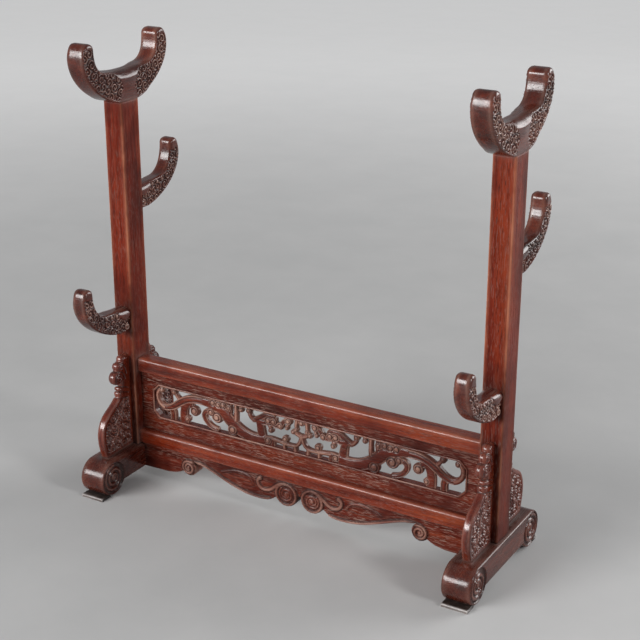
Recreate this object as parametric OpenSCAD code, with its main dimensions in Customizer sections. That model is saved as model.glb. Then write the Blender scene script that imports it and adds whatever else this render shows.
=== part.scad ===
// Three-tier hardwood stand for swords.
// Two posts on scrolled sled feet are tied together by two rails, a pierced dragon panel and an apron.
// Each post carries a yoke on its top, a hook on its back face and a hook on its front face.
// Millimetres. X runs along the rails, Y from front to back, Z upwards. The floor is Z = 0.

/* [Overall] */
// Distance between the post centres
span = 380; // [300:5:460]
// Height of the post tops, where the yokes sit
post_top = 372; // [340:1:420]

/* [Posts] */
// Post width, along the rails
post_w = 20; // [17:0.5:24]
// Post depth, front to back
post_d = 25.5; // [23:0.5:27]
// Rounding of the long post edges
post_round = 1.5; // [1:0.25:3]

/* [Feet] */
// Foot width, along the rails
foot_w = 27; // [24:0.5:32]
// Height of the foot's top face
foot_top = 35; // [33:0.25:36]
// Underside of the bar between the scrolls
foot_under = 10; // [8:0.5:12]
// Radius of the scrolled ends
scroll_r = 17; // [15:0.25:17.25]
// Thickness of the floor pads
pad_t = 3; // [2.5:0.25:5]
// Length of a floor pad, front to back
pad_len = 13; // [12:0.5:20]
// Width of a pad, across the foot
pad_w = 24; // [20:0.5:26]
// Distance of the pad's outer edge from the post
pad_reach = 74; // [70:0.5:75]
// Distance of the pad's outer edge past its scroll's centre
pad_lead = 18.5; // [16:0.5:20]

/* [Rails] */
// Underside of the upper rail
upper_z = 111; // [108:0.5:116]
// Height of the upper rail
upper_h = 13.5; // [12:0.5:18]
// Depth of the upper rail
upper_d = 16; // [14:0.5:20]
// Underside of the lower rail
lower_z = 36.5; // [36:0.25:40]
// Height of the lower rail
lower_h = 13.5; // [12:0.5:16]
// Depth of the lower rail
lower_d = 19; // [16:0.5:22]
// Rounding of the rails' top edges
rail_round = 3; // [1:0.25:4]

/* [Panel] */
// Thickness of the panel
panel_t = 6; // [5.25:0.25:8]
// Thickness of the openwork
fret_t = 5; // [4:0.25:5.5]
// Width of the pierced opening
opening_w = 329; // [230:1:335]
// Height of the pierced opening
opening_h = 32.2; // [28:0.1:37]
// Lower edge of the pierced opening
opening_z = 65.8; // [60:0.1:70]
// Size of the cut corners of the opening
corner_cut = 6; // [3:0.5:10]
// Width of the raised bead round the opening
bead_w = 1.8; // [1:0.1:3]
// Height of the raised bead
bead_h = 0.8; // [0.4:0.1:1.2]

/* [Apron] */
// Thickness of the apron
apron_t = 13; // [10:0.5:15]
// Lowest level of the apron's edge
apron_low = 10; // [8:0.5:14]
// Radius of the twin scrolls in the middle
twin_r = 12; // [10:0.5:13]
// Radius of the outer volutes
volute_r = 8.5; // [7:0.25:9.5]
// Height of the raised scroll faces
scroll_rise = 0.8; // [0.4:0.1:1.2]

/* [Yokes and hooks] */
// Reach of a yoke horn from the post centre
yoke_reach = 60.5; // [54:0.5:66]
// Height of a yoke from its underside to its horn tips
yoke_h = 57.5; // [52:0.5:64]
// Height of a yoke's seat above its underside
yoke_seat = 27.5; // [24:0.5:30]
// Hook width, along the rails
hook_w = 15.5; // [12:0.5:17]
// Reach of a hook from the post's face
hook_reach = 63.5; // [60:0.5:70]
// Height of a hook from its underside to its tip
hook_h = 56.5; // [52:0.5:62]
// Height of a hook's seat next to the post
hook_seat = 23; // [20:0.5:25]
// Thickness of a yoke's horns
yoke_horn_t = 16; // [13:0.5:18]
// Thickness of a hook's horn
hook_horn_t = 14; // [12:0.5:16]
// Length of the level underside next to the root
root_flat = 13.5; // [13:0.25:16]
// Underside of the rear hooks
rear_z = 266.5; // [250:0.5:290]
// Underside of the front hooks
front_z = 154; // [148:0.5:170]
// Rounding of the horn tips, seen from the front
tip_round = 4; // [2:0.5:6]

/* [Spandrels] */
// Thickness of a spandrel
spandrel_t = 8; // [7:0.25:11]
// Reach of the belly from the post's face
spandrel_reach = 43.5; // [38:0.1:46]
// Height of the spandrel above the foot
spandrel_h = 95; // [86:1:106]
// Width of the plain border round the carved ground
border_w = 3.2; // [2:0.1:5]
// Depth of the carved ground below the border
ground_cut = 1; // [0.5:0.1:1.5]

/* [Joinery] */
// Clearance on each side of a tenon or tongue
fit = 0.1; // [0.05:0.01:0.2]
// Free space beyond the end of a tenon
end_gap = 0.5; // [0.3:0.1:1]
// Thickness of the panel, apron and spandrel tongues
tongue_t = 4; // [3:0.25:5]
// Depth of the tongues
tongue_l = 3.5; // [2.5:0.25:4]
// Thickness of the tenons
tenon_t = 7; // [6:0.25:8]
// Length of the rail and hook tenons
tenon_l = 8; // [6:0.5:8.5]
// Length of the tenons at the ends of a post
post_tenon_l = 14; // [10:0.5:16]

/* [Hidden] */
$fn = 48;
// Facets of the small rounded edges and of the stem ends
edge_fn = 24;
stem_fn = 16;
// Steps along one free curve
steps = 8;
// Overlap of joined solids and cutters
lap = 1;
// Swelling that joins strokes which only touch
weld = 0.01;
post_x = span / 2;
inner_x = post_x - post_w / 2;
face_y = post_d / 2;
// Each scroll stands over its pad
scroll_y = pad_reach - pad_lead;
panel_low = lower_z + lower_h;
// Share of a root's height that its tenon or tongue takes up
root_share = 0.6;
rail_tenon_h = upper_h - 2 * rail_round;
post_tenon_d = post_d - 2 * post_round - tenon_t / 2;
hook_tenon_h = hook_seat * root_share;
spandrel_tongue_h = spandrel_h * root_share;
// Stub tenon under a spandrel: length, depth and distance from the post's face
stub_l = 5;
stub_d = 10;
stub_p = 16;
// Outer sweep of a horn: its two pulls, in from the reach and up from the underside
sweep_pull = [[25, 4.5], [0.5, 22]];
// Rounded horn tip: how far the knee and the lip lie below the crown, and the pull of the rounding
knee_drop = 8.5;
lip_drop = 6;
tip_pull = 4.5;
// Inner sweep of a horn: pull below the lip, then pull in from the reach and up from the seat
lip_pull = [0.5, -14];
dish_pull = [21.5, 2];
// Point where a seat begins to sweep up, as distance out and rise
yoke_dish = [26, 1.5];
hook_dish = [30, 1.5];
// Pulls of the seat's own shallow curve, as distance out and share of the rise
seat_pull = [[14, 0.33], [7, 0]];
// Spandrel drawing size: reach and height
spandrel_size = [43.5, 95];
// Belly, neck and head of the spandrel as guide points, out from the post and up from the foot
belly = [
  [39, 0], [41.5, 7], [43.5, 13], [43.5, 21],
  [43.5, 31], [38.5, 39.5], [31, 43.8],
  [25.5, 46.8], [20, 50], [16.5, 54]
];
neck = [[12, 64.5], [12, 70]];
head = [
  [18, 80], [16, 84], [13, 88], [9, 91],
  [6, 93.5], [2, 95], [0, 94]
];
// Beads of the neck, bulb and lobes of the head as centre and radius
beads = [[13.6, 57, 3.2], [13.4, 62, 2.6], [16.4, 74.5, 7], [12.8, 84.6, 4.8], [6.4, 89.8, 4.6]];
// Share of the spandrel's height that has a sunk ground
ground_share = 0.54;
// Apron drawing size: half width and depth
apron_size = [177.5, 26.5];
apron_wide = post_x - foot_w / 2;
apron_scale = [apron_wide / apron_size[0], (lower_z - apron_low) / apron_size[1]];
// Half of the apron's edge below the rail, from the middle outwards
apron_drop = [[0, 0], [0, -14], [15, -14]];
apron_sweep = [
  [28, -22], [31, -25], [37, -26.5], [45, -26.5],
  [75, -26.5], [92, -11.5], [120, -7]
];
apron_end = [[126, -15], [132, -23.5], [142, -26], [155, -26.2]];
// Half of the space between the twin scrolls
twin_gap = 2;
// Centre of an outer volute on the apron drawing
volute_at = [124.2, -15];
// Openwork drawing size: half width and height of the grid it is drawn on
fret_size = [164.5, 32.2];
// Stems of one dragon as four guide points, then the width at either end
dragon_stems = [
  [[41, 4], [56, 0.5], [69, 5], [80.5, 16.5], 9.5, 13],
  [[80.5, 16.5], [88, 23.5], [97, 27.5], [110, 27], 13, 8.5],
  [[110, 27], [119, 27.5], [127, 25.5], [135, 20], 8.5, 8],
  [[135, 20], [141, 15.5], [146, 11], [153, 11.2], 8, 6],
  [[153, 11.2], [162, 13], [164.5, 25], [157.5, 29], 6, 4],
  [[124, 22], [131, 19], [132.5, 12], [131, -1], 8, 9.5],
  [[146, 11], [143, 8], [143.5, 4], [144, -1], 7, 6.5],
  [[97, 17.5], [103, 20], [110.5, 16.5], [106.5, 9.5], 5.5, 5.5],
  [[106.5, 9.5], [104, 5.5], [101, 2.5], [93.5, 1.6], 5.5, 4.5],
  [[120, 17], [122.5, 19], [124, 20.5], [127, 22], 5, 6],
  [[65.5, 27.5], [65.5, 29.5], [65.5, 31], [65.5, 33], 4, 4],
  [[71.8, 16], [71, 22], [71.5, 28], [71.8, 33], 5, 4],
  [[79, 18], [78.5, 24], [78.5, 29], [79, 33], 5, 5],
  [[134, 21.5], [137.5, 23.5], [139.5, 26], [142, 29.4], 4.5, 3.5]
];
// Stems of the cloud scrolls between a dragon and the middle
cloud_stems = [
  [[43, 1], [43, 8], [44, 14], [45.5, 21], 10, 8],
  [[51.5, 21.5], [44, 24], [41, 30.5], [34, 29.8], 5.5, 5],
  [[34, 29.8], [30, 30.3], [27.5, 27.5], [29.5, 24], 5, 5],
  [[45, 22], [41, 21], [38, 22.5], [34, 23.5], 7, 7],
  [[50, 21.5], [54, 21.5], [57, 24.5], [56.8, 30], 5, 4],
  [[36, 22], [34, 19.5], [33, 17.5], [33, 15.2], 5.5, 4],
  [[30, 22], [26, 20.5], [22.5, 21.5], [20, 26], 6, 4.5],
  [[20, 26], [18.5, 28], [16.5, 28.5], [14, 28.6], 4.5, 5],
  [[14, 28], [14.3, 25.5], [15, 23.5], [15.8, 21.5], 4.5, 3],
  [[5, 33], [5.4, 29], [6.2, 26.5], [5.6, 22.5], 4.8, 3.6],
  [[0, 15.5], [2.5, 17.2], [5.5, 18], [8.5, 19.3], 4.5, 4],
  [[0, 17], [1.5, 11.5], [2.5, 6], [9, 5], 4.2, 3.8],
  [[9, 5], [14, 4.2], [22, 6], [31, 6.5], 3.8, 4.5],
  [[31, 6.5], [35, 6.5], [38, 5], [42, 4], 4.5, 6],
  [[7, 5], [6.8, 3], [6.6, 1], [6.5, -1], 4.2, 5],
  [[18.5, 5], [18.5, 3], [18.5, 1], [18.5, -1], 3.6, 4],
  [[31, 6], [31, 3.5], [31, 1], [31, -1], 4.5, 5],
  [[17.3, 9.5], [17.2, 8], [17, 6.5], [17, 5], 4.5, 4]
];
// Round bosses and curl ends as centre and radius
bosses = [
  [118.5, 14.7, 5.2],
  [93, 14.3, 6.2],
  [99.5, 18, 4.2],
  [85.5, 28.6, 4],
  [97, 28.4, 4.6],
  [91, 27.5, 4],
  [75, 5.5, 6],
  [65.5, 28.2, 2.7],
  [79, 27, 3.4],
  [156.3, 28.2, 3],
  [142, 29.2, 3.3],
  [127, 4.6, 3.3],
  [57, 29.5, 3.2],
  [35.5, 24.3, 4.6],
  [29.8, 24.5, 4],
  [33, 15.2, 2.9],
  [22.6, 22, 3.6],
  [14, 28.6, 3.9],
  [15.8, 21.3, 2.2],
  [8.8, 19.3, 2.6],
  [5.6, 22.2, 2.4],
  [0, 30, 3.2],
  [17.3, 10, 3.7],
  [36, 4, 4.3]
];

// Points of a cubic curve after its first point
function curve(a, b, c, d) = [
  for (i = [1 : steps])
    let (t = i / steps, s = 1 - t)
      a * s * s * s + 3 * b * s * s * t + 3 * c * s * t * t + d * t * t * t
];

// Direction across a cubic curve at parameter t
function across(a, b, c, d, t) =
  let (
    s = 1 - t,
    v = (b - a) * s * s + 2 * (c - b) * s * t + (d - c) * t * t
  )
  [-v[1], v[0]] / norm(v);

// Points along a chain of cubic curves, three guide points for each curve after the first point
function path(g) = concat(
  [g[0]],
  [for (k = [0 : 3 : len(g) - 4]) for (p = curve(g[k], g[k + 1], g[k + 2], g[k + 3])) p]
);

// Outline of one half of a yoke, or of a hook, from the underside round the horn to the seat
function arm_outline(reach, tall, seat, dish, thick) =
  let (
    knee = [reach, tall - knee_drop],
    crown = [reach - thick / 2, tall],
    lip = [reach - thick, tall - lip_drop],
    low = [0, seat],
    rise = [0, dish[1]]
  )
  path([
    [root_flat, 0],
    [reach - sweep_pull[0][0], sweep_pull[0][1]],
    [reach - sweep_pull[1][0], sweep_pull[1][1]],
    knee,
    knee + [0, tip_pull],
    crown + [tip_pull, 0],
    crown,
    crown - [tip_pull, 0],
    lip + [0, tip_pull],
    lip,
    lip + lip_pull,
    low + [reach - dish_pull[0], dish_pull[1]],
    low + dish,
    low + [seat_pull[0][0], 0] + seat_pull[0][1] * rise,
    low + [seat_pull[1][0], 0] + seat_pull[1][1] * rise,
    low
  ]);

module block(size, at) {
  translate(at)
    cube(size, center = true);
}

// Plate with its outline drawn in Y and Z, centred on X = 0
module side_plate(t) {
  rotate([90, 0, 90])
    linear_extrude(height = t, center = true)
      children();
}

// Plate with its outline drawn in X and Z, centred on Y = 0
module front_plate(t) {
  rotate([90, 0, 0])
    linear_extrude(height = t, center = true)
      children();
}

// Tapering stem along a cubic curve, rounded at both ends
module stem(s) {
  mid = concat([s[0]], curve(s[0], s[1], s[2], s[3]));
  half = [for (i = [0 : steps]) (s[4] + (s[5] - s[4]) * i / steps) / 2];
  side = [for (i = [0 : steps]) half[i] * across(s[0], s[1], s[2], s[3], i / steps)];
  polygon(concat(
    [for (i = [0 : steps]) mid[i] + side[i]],
    [for (i = [0 : steps]) mid[steps - i] - side[steps - i]]
  ));
  translate(s[0])
    circle(d = s[4], $fn = stem_fn);
  translate(s[3])
    circle(d = s[5], $fn = stem_fn);
}

module foot_shape() {
  difference() {
    side_plate(foot_w)
      foot_outline();
    block([tenon_t + 2 * fit, post_tenon_d + 2 * fit, 2 * (post_tenon_l + end_gap)], [0, 0, foot_top]);
    for (s = [-1, 1])
      block([tongue_t + 2 * fit, stub_d + 2 * fit, 2 * (stub_l + end_gap)], [0, s * (face_y + stub_p), foot_top]);
  }
}

module foot_outline() {
  difference() {
    union() {
      translate([-scroll_y, foot_under])
        square([2 * scroll_y, foot_top - foot_under]);
      for (s = [-1, 1])
        translate([s * scroll_y, foot_top - scroll_r])
          circle(scroll_r);
    }
    for (s = [-1, 1])
      translate([s * (pad_reach - pad_len / 2), pad_t / 2])
        square([pad_len + 2 * fit, pad_t], center = true);
  }
}

module pad_shape() {
  block([pad_w, pad_len, pad_t], [0, pad_len / 2 - pad_reach, pad_t / 2]);
}

module post_section() {
  offset(r = post_round, $fn = edge_fn)
    square([post_w - 2 * post_round, post_d - 2 * post_round], center = true);
}

// Post with its inner face towards negative X
module post_shape() {
  difference() {
    union() {
      translate([0, 0, foot_top])
        linear_extrude(height = post_top - foot_top)
          post_section();
      block([tenon_t, post_tenon_d, post_tenon_l + lap], [0, 0, foot_top + (lap - post_tenon_l) / 2]);
      block([tenon_t, post_tenon_d, post_tenon_l + lap], [0, 0, post_top + (post_tenon_l - lap) / 2]);
    }
    for (z = [upper_z + upper_h / 2, lower_z + lower_h / 2])
      block(
        [2 * (tenon_l + end_gap), tenon_t + 2 * fit, rail_tenon_h + 2 * fit],
        [-post_w / 2, 0, z]
      );
    block(
      [2 * (tongue_l + end_gap), tongue_t + 2 * fit, upper_z - panel_low],
      [-post_w / 2, 0, (upper_z + panel_low) / 2]
    );
    for (s = [[1, rear_z], [-1, front_z]])
      block(
        [tenon_t + 2 * fit, 2 * (tenon_l + end_gap), hook_tenon_h + 2 * fit],
        [0, s[0] * face_y, s[1] + hook_seat / 2]
      );
    for (s = [-1, 1])
      block(
        [tongue_t + 2 * fit, 2 * (tongue_l + end_gap), spandrel_tongue_h + 2 * fit],
        [0, s * face_y, foot_top + spandrel_h / 2]
      );
  }
}

// Standing bracket in front of the post, drawn outwards from the post's face
module spandrel_outline() {
  scale([spandrel_reach / spandrel_size[0], spandrel_h / spandrel_size[1]])
    union() {
      polygon(concat([[0, 0]], path(belly), neck, path(head)));
      for (b = beads)
        translate([b[0], b[1]])
          circle(b[2]);
    }
}

// Carved ground inside the spandrel's border
module spandrel_ground() {
  offset(delta = -border_w)
    intersection() {
      spandrel_outline();
      square([spandrel_reach, spandrel_h * ground_share]);
    }
}

module spandrel_shape() {
  difference() {
    union() {
      translate([0, -face_y, foot_top])
        mirror([0, 1, 0])
          side_plate(spandrel_t)
            spandrel_outline();
      block(
        [tongue_t, tongue_l + lap, spandrel_tongue_h],
        [0, (tongue_l - lap) / 2 - face_y, foot_top + spandrel_h / 2]
      );
      block([tongue_t, stub_d, stub_l + lap], [0, -face_y - stub_p, foot_top + (lap - stub_l) / 2]);
    }
    for (s = [-1, 1])
      translate([s * spandrel_t / 2, -face_y, foot_top])
        mirror([0, 1, 0])
          side_plate(2 * ground_cut)
            spandrel_ground();
  }
}

module rail_shape(d, h, z) {
  translate([0, 0, z])
    side_plate(2 * inner_x)
      intersection() {
        offset(r = rail_round, $fn = edge_fn)
          square([d - 2 * rail_round, 2 * (h - rail_round)], center = true);
        translate([-d, 0])
          square([2 * d, 2 * h]);
      }
  for (s = [-1, 1])
    block([tenon_l + lap, tenon_t, rail_tenon_h], [s * (inner_x + (tenon_l - lap) / 2), 0, z + h / 2]);
}

// Groove along a rail for a tongue that ends short of the posts' faces
module rail_groove(z) {
  block([2 * inner_x + lap, tongue_t + 2 * fit, 2 * (tongue_l + end_gap)], [0, 0, z]);
}

module opening() {
  intersection() {
    translate([-opening_w / 2, opening_z])
      square([opening_w, opening_h]);
    translate([0, opening_z + opening_h / 2])
      rotate(45)
        square((opening_w + opening_h - 2 * corner_cut) / sqrt(2), center = true);
  }
}

module fret() {
  offset(delta = weld)
    intersection() {
      offset(delta = bead_w / 2)
        opening();
      translate([0, opening_z])
        scale([opening_w / 2 / fret_size[0], opening_h / fret_size[1]])
          for (m = [0, 1])
            mirror([m, 0]) {
              for (s = dragon_stems)
                stem(s);
              for (s = cloud_stems)
                stem(s);
              for (b = bosses)
                translate([b[0], b[1]])
                  circle(b[2], $fn = stem_fn);
            }
    }
}

// Half of the apron, below the rail
module apron_outline() {
  scale(apron_scale)
    polygon(concat(
      apron_drop,
      path(apron_sweep),
      path(apron_end),
      [[apron_size[0], -apron_size[1]], [apron_size[0], 0]]
    ));
}

module left_foot() {
  color("SaddleBrown")
    translate([-post_x, 0, 0])
      foot_shape();
}

module right_foot() {
  color("SaddleBrown")
    translate([post_x, 0, 0])
      foot_shape();
}

module left_front_pad() {
  color("Peru")
    translate([-post_x, 0, 0])
      pad_shape();
}

module left_back_pad() {
  color("Peru")
    translate([-post_x, 0, 0])
      mirror([0, 1, 0])
        pad_shape();
}

module right_front_pad() {
  color("Peru")
    translate([post_x, 0, 0])
      pad_shape();
}

module right_back_pad() {
  color("Peru")
    translate([post_x, 0, 0])
      mirror([0, 1, 0])
        pad_shape();
}

module left_post() {
  color("Sienna")
    mirror([1, 0, 0])
      translate([post_x, 0, 0])
        post_shape();
}

module right_post() {
  color("Sienna")
    translate([post_x, 0, 0])
      post_shape();
}

module left_front_spandrel() {
  color("Chocolate")
    translate([-post_x, 0, 0])
      spandrel_shape();
}

module left_back_spandrel() {
  color("Chocolate")
    translate([-post_x, 0, 0])
      mirror([0, 1, 0])
        spandrel_shape();
}

module right_front_spandrel() {
  color("Chocolate")
    translate([post_x, 0, 0])
      spandrel_shape();
}

module right_back_spandrel() {
  color("Chocolate")
    translate([post_x, 0, 0])
      mirror([0, 1, 0])
        spandrel_shape();
}

module upper_rail() {
  color("Sienna")
    difference() {
      rail_shape(upper_d, upper_h, upper_z);
      rail_groove(upper_z);
    }
}

module lower_rail() {
  color("Sienna")
    difference() {
      rail_shape(lower_d, lower_h, lower_z);
      rail_groove(lower_z);
      rail_groove(panel_low);
    }
}

module openwork_panel() {
  tall = upper_z - panel_low;
  mid = (upper_z + panel_low) / 2;
  color("Chocolate") {
    difference() {
      union() {
        block([2 * inner_x, panel_t, tall], [0, 0, mid]);
        block([2 * (inner_x + tongue_l), tongue_t, tall - 2 * fit], [0, 0, mid]);
        block([2 * inner_x, tongue_t, tall + 2 * tongue_l], [0, 0, mid]);
        front_plate(panel_t + 2 * bead_h)
          offset(delta = bead_w)
            opening();
      }
      front_plate(2 * panel_t)
        opening();
    }
    front_plate(fret_t)
      fret();
  }
}

module apron() {
  color("Sienna") {
    translate([0, 0, lower_z])
      for (m = [0, 1])
        mirror([m, 0, 0])
          front_plate(apron_t)
            apron_outline();
    block([2 * apron_wide, tongue_t, tongue_l + lap], [0, 0, lower_z + (tongue_l - lap) / 2]);
    for (s = [-1, 1]) {
      translate([s * (twin_r + twin_gap), 0, apron_low + twin_r])
        front_plate(apron_t + 2 * scroll_rise)
          circle(twin_r);
      translate([s * volute_at[0] * apron_scale[0], 0, lower_z + volute_at[1] * apron_scale[1]])
        front_plate(apron_t + 2 * scroll_rise)
          circle(volute_r);
    }
  }
}

module yoke_shape() {
  half = arm_outline(yoke_reach, yoke_h, yoke_seat, yoke_dish, yoke_horn_t);
  translate([0, 0, post_top])
    difference() {
      intersection() {
        side_plate(post_w)
          polygon(concat(half, [for (i = [len(half) - 2 : -1 : 0]) [-half[i][0], half[i][1]]]));
        tip_envelope(post_w, yoke_reach, yoke_h);
      }
      block([tenon_t + 2 * fit, post_tenon_d + 2 * fit, 2 * (post_tenon_l + end_gap)], [0, 0, 0]);
    }
}

// Block with a rounded top that softens the horn tips
module tip_envelope(wide, reach, tall) {
  front_plate(2 * (reach + lap))
    intersection() {
      offset(r = tip_round, $fn = edge_fn)
        square([wide - 2 * tip_round, 2 * (tall - tip_round)], center = true);
      translate([-wide, 0])
        square([2 * wide, tall + lap]);
    }
}

// Hook standing out from a post face at Y = 0
module hook_shape() {
  intersection() {
    side_plate(hook_w)
      polygon(concat([[0, 0]], arm_outline(hook_reach, hook_h, hook_seat, hook_dish, hook_horn_t)));
    tip_envelope(hook_w, hook_reach, hook_h);
  }
  block([tenon_t, tenon_l + lap, hook_tenon_h], [0, (lap - tenon_l) / 2, hook_seat / 2]);
}

module left_yoke() {
  color("Brown")
    translate([-post_x, 0, 0])
      yoke_shape();
}

module right_yoke() {
  color("Brown")
    translate([post_x, 0, 0])
      yoke_shape();
}

module left_rear_hook() {
  color("Brown")
    translate([-post_x, face_y, rear_z])
      hook_shape();
}

module right_rear_hook() {
  color("Brown")
    translate([post_x, face_y, rear_z])
      hook_shape();
}

module left_front_hook() {
  color("Brown")
    translate([-post_x, -face_y, front_z])
      mirror([0, 1, 0])
        hook_shape();
}

module right_front_hook() {
  color("Brown")
    translate([post_x, -face_y, front_z])
      mirror([0, 1, 0])
        hook_shape();
}

left_foot();
right_foot();
left_front_pad();
left_back_pad();
right_front_pad();
right_back_pad();
left_post();
right_post();
left_front_spandrel();
left_back_spandrel();
right_front_spandrel();
right_back_spandrel();
upper_rail();
lower_rail();
openwork_panel();
apron();
left_yoke();
right_yoke();
left_rear_hook();
right_rear_hook();
left_front_hook();
right_front_hook();
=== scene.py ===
"""Looks of a carved three-tier hardwood stand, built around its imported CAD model."""
import math

import bpy
import numpy as np
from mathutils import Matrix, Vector


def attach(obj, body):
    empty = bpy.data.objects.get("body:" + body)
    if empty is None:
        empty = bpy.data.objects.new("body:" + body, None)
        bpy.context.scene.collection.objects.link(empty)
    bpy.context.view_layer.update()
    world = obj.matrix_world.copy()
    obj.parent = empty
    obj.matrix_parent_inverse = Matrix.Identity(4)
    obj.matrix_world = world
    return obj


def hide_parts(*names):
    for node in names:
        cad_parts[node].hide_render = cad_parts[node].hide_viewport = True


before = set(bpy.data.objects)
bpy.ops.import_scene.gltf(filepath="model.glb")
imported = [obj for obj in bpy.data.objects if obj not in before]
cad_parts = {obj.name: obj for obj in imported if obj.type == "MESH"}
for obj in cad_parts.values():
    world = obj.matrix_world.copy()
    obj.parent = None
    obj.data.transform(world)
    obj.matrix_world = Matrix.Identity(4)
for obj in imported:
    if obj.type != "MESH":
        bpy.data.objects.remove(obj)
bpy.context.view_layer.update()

MM = 0.001
SCENE = bpy.context.scene

# Sizes of the CAD model, in millimetres
POST_X = 190.0
POST_W, POST_D, POST_TOP = 20.0, 25.5, 372.0
FACE_Y = POST_D / 2
INNER_X = POST_X - POST_W / 2
FOOT_W, FOOT_TOP, FOOT_UNDER = 27.0, 35.0, 10.0
SCROLL_R, SCROLL_Y = 17.0, 55.5
PAD_T, PAD_LEN, PAD_REACH, PAD_W = 3.0, 13.0, 74.0, 24.0
UPPER_Z, UPPER_H, UPPER_D = 111.0, 13.5, 16.0
LOWER_Z, LOWER_H, LOWER_D = 36.5, 13.5, 19.0
PANEL_LOW, PANEL_T = LOWER_Z + LOWER_H, 6.0
OPEN_W, OPEN_H, OPEN_Z, OPEN_CUT = 329.0, 32.2, 65.8, 6.0
APRON_T, APRON_LOW, APRON_WIDE = 13.0, 10.0, POST_X - FOOT_W / 2
YOKE_REACH, YOKE_H, YOKE_SEAT, YOKE_HORN = 60.5, 57.5, 27.5, 16.0
HOOK_REACH, HOOK_H, HOOK_SEAT, HOOK_HORN, HOOK_W = 63.5, 56.5, 23.0, 14.0, 15.5
ROOT_FLAT = 13.5
REAR_Z, FRONT_Z = 266.5, 154.0
SPANDREL_T, SPANDREL_H = 8.0, 95.0
POST_ROUND, RAIL_ROUND, RAIL_ARRIS = 1.5, 3.0, 0.7
SIDES = ("left", -1), ("right", 1)

# How far rails, boards and the apron run into their neighbours, in millimetres
LAP = 2.0

# Pitch of the grid under each carved shape, in millimetres
ARM_PITCH, FOOT_PITCH, BRACKET_PITCH = 0.42, 0.45, 0.45
OPENWORK_PITCH, APRON_PITCH, BORDER_PITCH = 0.45, 0.6, 1.1


# Drawing in two dimensions

def cubic(guide, steps=16):
    """Points along a chain of cubic curves."""
    guide = np.array(guide, float)
    t = np.linspace(0, 1, steps + 1)[1:, None]
    s = 1 - t
    out = [guide[:1]]
    for k in range(0, len(guide) - 3, 3):
        a, b, c, d = guide[k:k + 4]
        out.append(a * s ** 3 + 3 * b * s * s * t + 3 * c * s * t * t + d * t ** 3)
    return np.vstack(out)


def smooth_line(points, steps=10):
    """Points along a smooth curve through the given points."""
    p = np.array(points, float)
    p = np.vstack([2 * p[0] - p[1], p, 2 * p[-1] - p[-2]])
    t = np.linspace(0, 1, steps, endpoint=False)[:, None]
    out = []
    for a, b, c, d in zip(p, p[1:], p[2:], p[3:]):
        out.append(0.5 * (2 * b + (c - a) * t + (2 * a - 5 * b + 4 * c - d) * t ** 2
                          + (3 * b - a - 3 * c + d) * t ** 3))
    return np.vstack(out + [p[-2:-1]])


def spiral(centre, r0, r1, start, turns, step=0.35):
    """Spiral from radius r0 to r1. Positive turns run anticlockwise."""
    count = max(8, int(abs(turns) * 2 * math.pi / step))
    q = np.linspace(0, 1, count + 1)
    a = start + q * turns * 2 * math.pi
    r = r0 + (r1 - r0) * q
    return np.array(centre, float) + np.stack([r * np.cos(a), r * np.sin(a)], 1)


def near(u, v, line):
    """Distance to a line of points, and the share of its length at the nearest place."""
    best = np.full(u.shape, 1e9)
    share = np.zeros(u.shape)
    step = np.diff(line, axis=0)
    size = np.hypot(step[:, 0], step[:, 1]) + 1e-12
    total, run = size.sum(), 0.0
    for a, d, n in zip(line, step, size):
        t = np.clip(((u - a[0]) * d[0] + (v - a[1]) * d[1]) / (n * n), 0, 1)
        q = np.hypot(u - a[0] - t * d[0], v - a[1] - t * d[1])
        m = q < best
        best = np.where(m, q, best)
        share = np.where(m, (run + t * n) / total, share)
        run += n
    return best, share


def inside(u, v, ring):
    """True where a point lies inside a closed ring of points."""
    hit = np.zeros(u.shape, bool)
    for a, b in zip(ring, np.roll(ring, -1, 0)):
        if a[1] == b[1]:
            continue
        m = (a[1] > v) != (b[1] > v)
        hit ^= m & (u < (b[0] - a[0]) * (v - a[1]) / (b[1] - a[1]) + a[0])
    return hit


def ease(x, low, high):
    """Smooth step from 0 at low to 1 at high."""
    t = np.clip((x - low) / (high - low), 0, 1)
    return t * t * (3 - 2 * t)


class Grid:
    """Square grid of sample points over a drawing."""

    def __init__(self, u0, v0, u1, v1, pitch):
        self.pitch = pitch
        self.u = np.arange(u0 - 2.37 * pitch, u1 + 3 * pitch, pitch)
        self.v = np.arange(v0 - 2.37 * pitch, v1 + 3 * pitch, pitch)
        self.U, self.V = np.meshgrid(self.u, self.v, indexing="ij")

    def blank(self, value=0.0):
        return np.full(self.U.shape, float(value))

    def window(self, line, pad):
        low, high = line.min(0) - pad, line.max(0) + pad
        i = np.searchsorted(self.u, (low[0], high[0]))
        j = np.searchsorted(self.v, (low[1], high[1]))
        return slice(i[0], i[1]), slice(j[0], j[1])

    def outline(self, ring):
        """Signed distance to a closed ring, negative inside it."""
        q, _ = near(self.U, self.V, np.vstack([ring, ring[:1]]))
        return np.where(inside(self.U, self.V, ring), -q, q)

    def ridge(self, field, line, width, height, taper=0.0, power=0.5):
        """Raises a rounded ridge along a line, where it is higher than the field."""
        w = self.window(line, width)
        if field[w].size == 0:
            return
        q, t = near(self.U[w], self.V[w], line)
        half = width * (1 - taper * t)
        field[w] = np.maximum(field[w], height * np.clip(1 - (q / half) ** 2, 0, 1) ** power)

    def groove(self, field, line, width, depth):
        """Cuts a rounded groove along a line."""
        w = self.window(line, width)
        if field[w].size == 0:
            return
        q, _ = near(self.U[w], self.V[w], line)
        field[w] = np.minimum(field[w], -depth * (1 - ease(q, 0.15 * width, width)))


# Pieces

# How far rubbing reaches in from an edge, and wax out from a joint, in millimetres
RUB_REACH, WAX_REACH = 0.8, 2.4


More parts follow.
